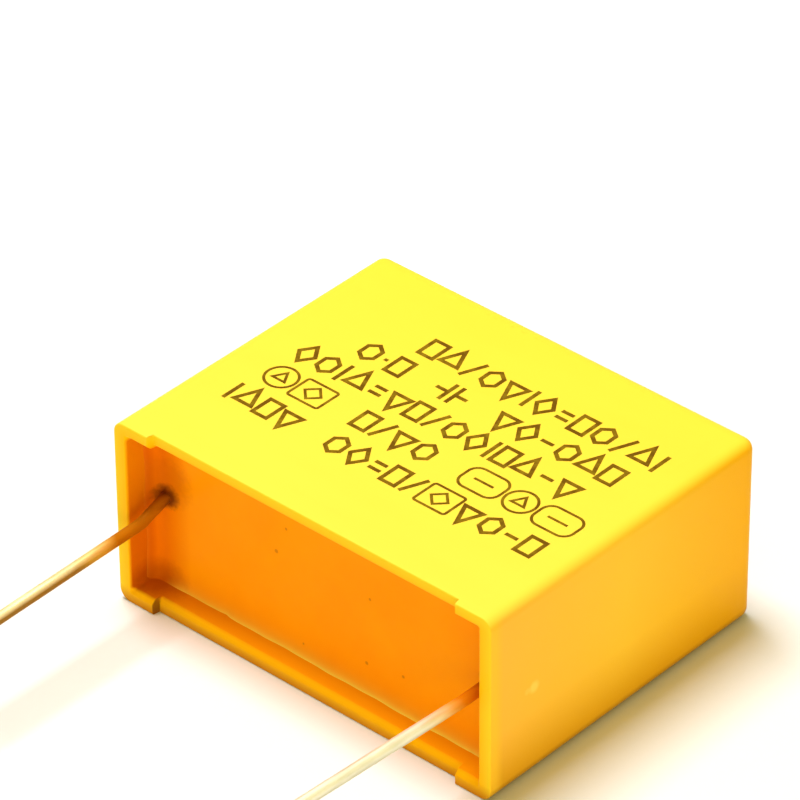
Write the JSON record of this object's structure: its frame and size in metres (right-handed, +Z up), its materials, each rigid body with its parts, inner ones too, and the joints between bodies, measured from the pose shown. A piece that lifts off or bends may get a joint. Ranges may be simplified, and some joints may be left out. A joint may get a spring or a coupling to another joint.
{
  "type": "box film capacitor",
  "caption": "Box film capacitor: a wound film roll cast in resin inside a rounded rectangular moulded box, with stand-off feet and two parallel wire leads.",
  "frame": {"origin": "centre of the lower large face of the box, on the surface that it lies on", "axes": "+Z up, through the thickness of the box; X along its length, from the left wire to the right one; -Y out of the open end, the way the feet and the wires point"},
  "size_m": [0.032, 0.0457, 0.0142],
  "materials": {
    "case_plastic": "satin",
    "resin": "gloss",
    "film": "satin",
    "sprayed_zinc": "matte",
    "solder": "gloss",
    "tinned_wire": "satin"
  },
  "bodies": {
    "root": {"case": "case_plastic", "potting": "resin", "winding": "film", "end_spray_left": "sprayed_zinc", "end_spray_right": "sprayed_zinc", "solder_left": "solder", "solder_right": "solder", "lead_left": "tinned_wire", "lead_right": "tinned_wire"}
  },
  "joints": []
}
